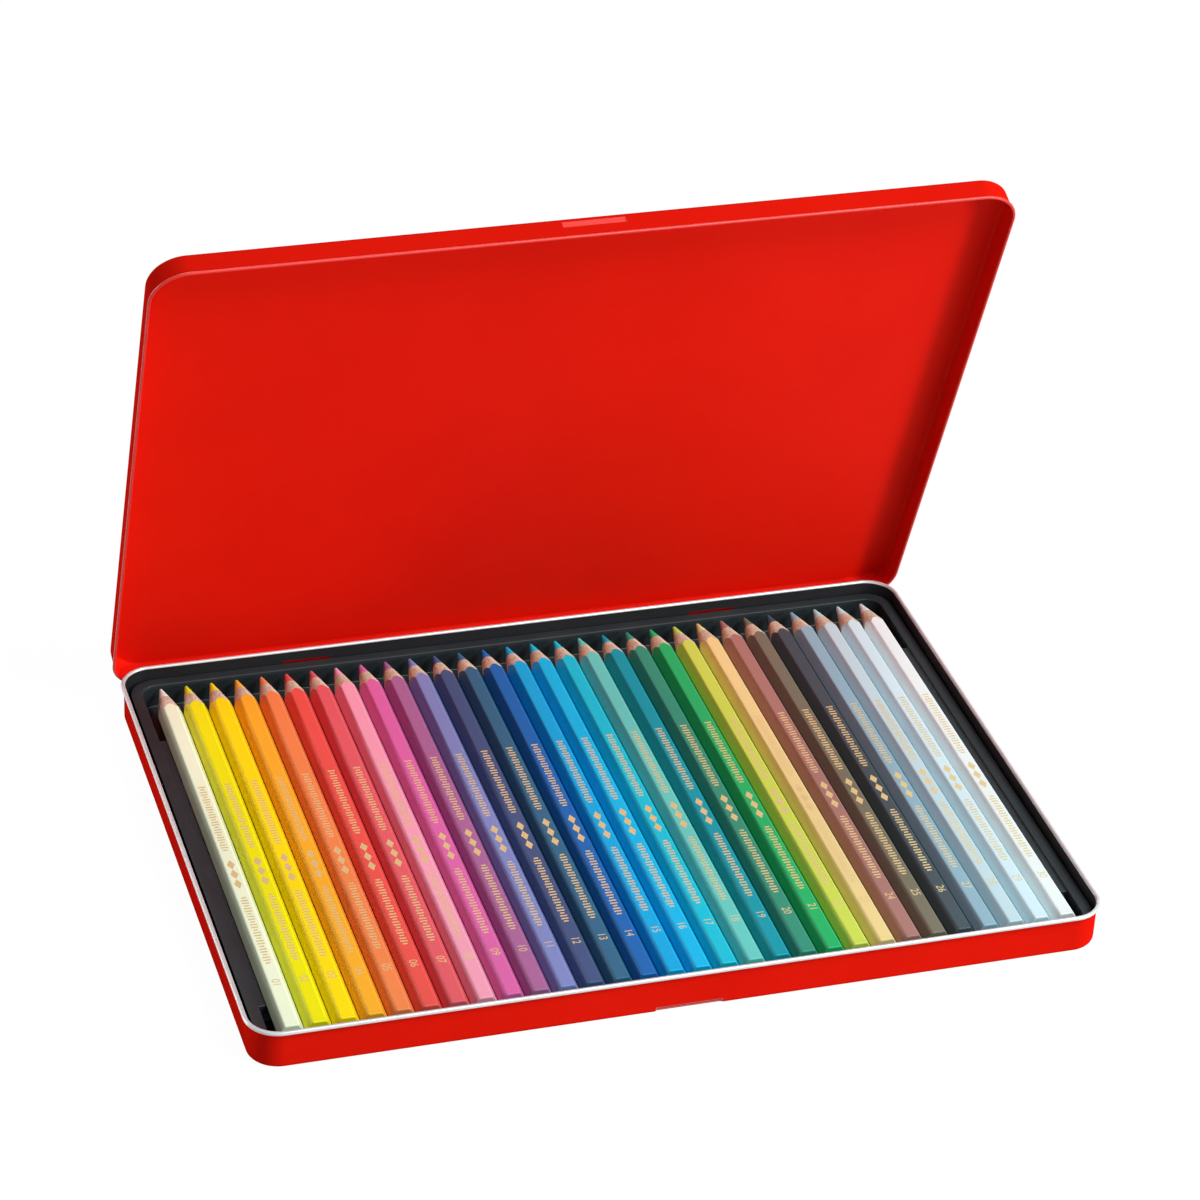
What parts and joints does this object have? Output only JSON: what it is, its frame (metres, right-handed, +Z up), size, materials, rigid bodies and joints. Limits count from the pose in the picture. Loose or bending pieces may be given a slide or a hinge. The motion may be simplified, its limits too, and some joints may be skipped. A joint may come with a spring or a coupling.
{
  "type": "watercolor pencil set",
  "caption": "Flat hinged tin with a moulded tray holding a row of hexagonal watercolor pencils; the lid swings on two pinned hinges and every pencil lifts out of its groove.",
  "frame": {"origin": "centre of the base tin's flat underside", "axes": "+X along the row of pencils, +Y towards the hinges and the pencil points, +Z up"},
  "size_m": [0.2538, 0.1932, 0.1848],
  "materials": {
    "base_tin": "satin-gloss red lacquer outside, black lacquer inside, bare bright curl",
    "lid": "satin-gloss red lacquer on both sides",
    "pencil_tray": "satin black",
    "hinge_pins": "drawn wire",
    "pencil_01_ivory": "lacquered case, bare wood point, coloured lead",
    "pencil_02_lemon_yellow": "lacquered case, bare wood point, coloured lead",
    "pencil_03_golden_yellow": "lacquered case, bare wood point, coloured lead",
    "pencil_04_light_orange": "lacquered case, bare wood point, coloured lead",
    "pencil_05_orange": "lacquered case, bare wood point, coloured lead",
    "pencil_06_scarlet": "lacquered case, bare wood point, coloured lead",
    "pencil_07_carmine": "lacquered case, bare wood point, coloured lead",
    "pencil_08_pink": "lacquered case, bare wood point, coloured lead",
    "pencil_09_magenta": "lacquered case, bare wood point, coloured lead",
    "pencil_10_purple": "lacquered case, bare wood point, coloured lead",
    "pencil_11_lilac": "lacquered case, bare wood point, coloured lead",
    "pencil_12_night_blue": "lacquered case, bare wood point, coloured lead",
    "pencil_13_indigo": "lacquered case, bare wood point, coloured lead",
    "pencil_14_ultramarine": "lacquered case, bare wood point, coloured lead",
    "pencil_15_cerulean": "lacquered case, bare wood point, coloured lead",
    "pencil_16_light_blue": "lacquered case, bare wood point, coloured lead",
    "pencil_17_turquoise": "lacquered case, bare wood point, coloured lead",
    "pencil_18_sea_green": "lacquered case, bare wood point, coloured lead",
    "pencil_19_peacock": "lacquered case, bare wood point, coloured lead",
    "pencil_20_dark_green": "lacquered case, bare wood point, coloured lead",
    "pencil_21_green": "lacquered case, bare wood point, coloured lead",
    "pencil_22_yellow_green": "lacquered case, bare wood point, coloured lead",
    "pencil_23_ochre": "lacquered case, bare wood point, coloured lead",
    "pencil_24_russet": "lacquered case, bare wood point, coloured lead",
    "pencil_25_umber": "lacquered case, bare wood point, coloured lead",
    "pencil_26_black": "lacquered case, bare wood point, coloured lead",
    "pencil_27_slate_grey": "lacquered case, bare wood point, coloured lead",
    "pencil_28_light_grey": "lacquered case, bare wood point, coloured lead",
    "pencil_29_pale_blue": "lacquered case, bare wood point, coloured lead",
    "pencil_30_white": "lacquered case, bare wood point, coloured lead"
  },
  "bodies": {
    "base": {"base_tin": "base_tin", "pencil_tray": "pencil_tray", "hinge_pins": "hinge_pins"},
    "lid": {"lid": "lid"},
    "pencil_01_ivory_body": {"pencil_01_ivory": "pencil_01_ivory"},
    "pencil_02_lemon_yellow_body": {"pencil_02_lemon_yellow": "pencil_02_lemon_yellow"},
    "pencil_03_golden_yellow_body": {"pencil_03_golden_yellow": "pencil_03_golden_yellow"},
    "pencil_04_light_orange_body": {"pencil_04_light_orange": "pencil_04_light_orange"},
    "pencil_05_orange_body": {"pencil_05_orange": "pencil_05_orange"},
    "pencil_06_scarlet_body": {"pencil_06_scarlet": "pencil_06_scarlet"},
    "pencil_07_carmine_body": {"pencil_07_carmine": "pencil_07_carmine"},
    "pencil_08_pink_body": {"pencil_08_pink": "pencil_08_pink"},
    "pencil_09_magenta_body": {"pencil_09_magenta": "pencil_09_magenta"},
    "pencil_10_purple_body": {"pencil_10_purple": "pencil_10_purple"},
    "pencil_11_lilac_body": {"pencil_11_lilac": "pencil_11_lilac"},
    "pencil_12_night_blue_body": {"pencil_12_night_blue": "pencil_12_night_blue"},
    "pencil_13_indigo_body": {"pencil_13_indigo": "pencil_13_indigo"},
    "pencil_14_ultramarine_body": {"pencil_14_ultramarine": "pencil_14_ultramarine"},
    "pencil_15_cerulean_body": {"pencil_15_cerulean": "pencil_15_cerulean"},
    "pencil_16_light_blue_body": {"pencil_16_light_blue": "pencil_16_light_blue"},
    "pencil_17_turquoise_body": {"pencil_17_turquoise": "pencil_17_turquoise"},
    "pencil_18_sea_green_body": {"pencil_18_sea_green": "pencil_18_sea_green"},
    "pencil_19_peacock_body": {"pencil_19_peacock": "pencil_19_peacock"},
    "pencil_20_dark_green_body": {"pencil_20_dark_green": "pencil_20_dark_green"},
    "pencil_21_green_body": {"pencil_21_green": "pencil_21_green"},
    "pencil_22_yellow_green_body": {"pencil_22_yellow_green": "pencil_22_yellow_green"},
    "pencil_23_ochre_body": {"pencil_23_ochre": "pencil_23_ochre"},
    "pencil_24_russet_body": {"pencil_24_russet": "pencil_24_russet"},
    "pencil_25_umber_body": {"pencil_25_umber": "pencil_25_umber"},
    "pencil_26_black_body": {"pencil_26_black": "pencil_26_black"},
    "pencil_27_slate_grey_body": {"pencil_27_slate_grey": "pencil_27_slate_grey"},
    "pencil_28_light_grey_body": {"pencil_28_light_grey": "pencil_28_light_grey"},
    "pencil_29_pale_blue_body": {"pencil_29_pale_blue": "pencil_29_pale_blue"},
    "pencil_30_white_body": {"pencil_30_white": "pencil_30_white"}
  },
  "joints": [
    {"name": "lid_hinge", "type": "hinge", "parent": "base", "child": "lid", "pos_m": [0, 0.09445, 0.00685], "axis": [-1, 0, 0], "range_deg": [-68.86, 36.14]},
    {"name": "lift_01_ivory", "type": "slide", "parent": "base", "child": "pencil_01_ivory_body", "axis": [0, 0, 1], "range_m": [0, 0.01]},
    {"name": "lift_02_lemon_yellow", "type": "slide", "parent": "base", "child": "pencil_02_lemon_yellow_body", "axis": [0, 0, 1], "range_m": [0, 0.01]},
    {"name": "lift_03_golden_yellow", "type": "slide", "parent": "base", "child": "pencil_03_golden_yellow_body", "axis": [0, 0, 1], "range_m": [0, 0.01]},
    {"name": "lift_04_light_orange", "type": "slide", "parent": "base", "child": "pencil_04_light_orange_body", "axis": [0, 0, 1], "range_m": [0, 0.01]},
    {"name": "lift_05_orange", "type": "slide", "parent": "base", "child": "pencil_05_orange_body", "axis": [0, 0, 1], "range_m": [0, 0.01]},
    {"name": "lift_06_scarlet", "type": "slide", "parent": "base", "child": "pencil_06_scarlet_body", "axis": [0, 0, 1], "range_m": [0, 0.01]},
    {"name": "lift_07_carmine", "type": "slide", "parent": "base", "child": "pencil_07_carmine_body", "axis": [0, 0, 1], "range_m": [0, 0.01]},
    {"name": "lift_08_pink", "type": "slide", "parent": "base", "child": "pencil_08_pink_body", "axis": [0, 0, 1], "range_m": [0, 0.01]},
    {"name": "lift_09_magenta", "type": "slide", "parent": "base", "child": "pencil_09_magenta_body", "axis": [0, 0, 1], "range_m": [0, 0.01]},
    {"name": "lift_10_purple", "type": "slide", "parent": "base", "child": "pencil_10_purple_body", "axis": [0, 0, 1], "range_m": [0, 0.01]},
    {"name": "lift_11_lilac", "type": "slide", "parent": "base", "child": "pencil_11_lilac_body", "axis": [0, 0, 1], "range_m": [0, 0.01]},
    {"name": "lift_12_night_blue", "type": "slide", "parent": "base", "child": "pencil_12_night_blue_body", "axis": [0, 0, 1], "range_m": [0, 0.01]},
    {"name": "lift_13_indigo", "type": "slide", "parent": "base", "child": "pencil_13_indigo_body", "axis": [0, 0, 1], "range_m": [0, 0.01]},
    {"name": "lift_14_ultramarine", "type": "slide", "parent": "base", "child": "pencil_14_ultramarine_body", "axis": [0, 0, 1], "range_m": [0, 0.01]},
    {"name": "lift_15_cerulean", "type": "slide", "parent": "base", "child": "pencil_15_cerulean_body", "axis": [0, 0, 1], "range_m": [0, 0.01]},
    {"name": "lift_16_light_blue", "type": "slide", "parent": "base", "child": "pencil_16_light_blue_body", "axis": [0, 0, 1], "range_m": [0, 0.01]},
    {"name": "lift_17_turquoise", "type": "slide", "parent": "base", "child": "pencil_17_turquoise_body", "axis": [0, 0, 1], "range_m": [0, 0.01]},
    {"name": "lift_18_sea_green", "type": "slide", "parent": "base", "child": "pencil_18_sea_green_body", "axis": [0, 0, 1], "range_m": [0, 0.01]},
    {"name": "lift_19_peacock", "type": "slide", "parent": "base", "child": "pencil_19_peacock_body", "axis": [0, 0, 1], "range_m": [0, 0.01]},
    {"name": "lift_20_dark_green", "type": "slide", "parent": "base", "child": "pencil_20_dark_green_body", "axis": [0, 0, 1], "range_m": [0, 0.01]},
    {"name": "lift_21_green", "type": "slide", "parent": "base", "child": "pencil_21_green_body", "axis": [0, 0, 1], "range_m": [0, 0.01]},
    {"name": "lift_22_yellow_green", "type": "slide", "parent": "base", "child": "pencil_22_yellow_green_body", "axis": [0, 0, 1], "range_m": [0, 0.01]},
    {"name": "lift_23_ochre", "type": "slide", "parent": "base", "child": "pencil_23_ochre_body", "axis": [0, 0, 1], "range_m": [0, 0.01]},
    {"name": "lift_24_russet", "type": "slide", "parent": "base", "child": "pencil_24_russet_body", "axis": [0, 0, 1], "range_m": [0, 0.01]},
    {"name": "lift_25_umber", "type": "slide", "parent": "base", "child": "pencil_25_umber_body", "axis": [0, 0, 1], "range_m": [0, 0.01]},
    {"name": "lift_26_black", "type": "slide", "parent": "base", "child": "pencil_26_black_body", "axis": [0, 0, 1], "range_m": [0, 0.01]},
    {"name": "lift_27_slate_grey", "type": "slide", "parent": "base", "child": "pencil_27_slate_grey_body", "axis": [0, 0, 1], "range_m": [0, 0.01]},
    {"name": "lift_28_light_grey", "type": "slide", "parent": "base", "child": "pencil_28_light_grey_body", "axis": [0, 0, 1], "range_m": [0, 0.01]},
    {"name": "lift_29_pale_blue", "type": "slide", "parent": "base", "child": "pencil_29_pale_blue_body", "axis": [0, 0, 1], "range_m": [0, 0.01]},
    {"name": "lift_30_white", "type": "slide", "parent": "base", "child": "pencil_30_white_body", "axis": [0, 0, 1], "range_m": [0, 0.01]}
  ]
}
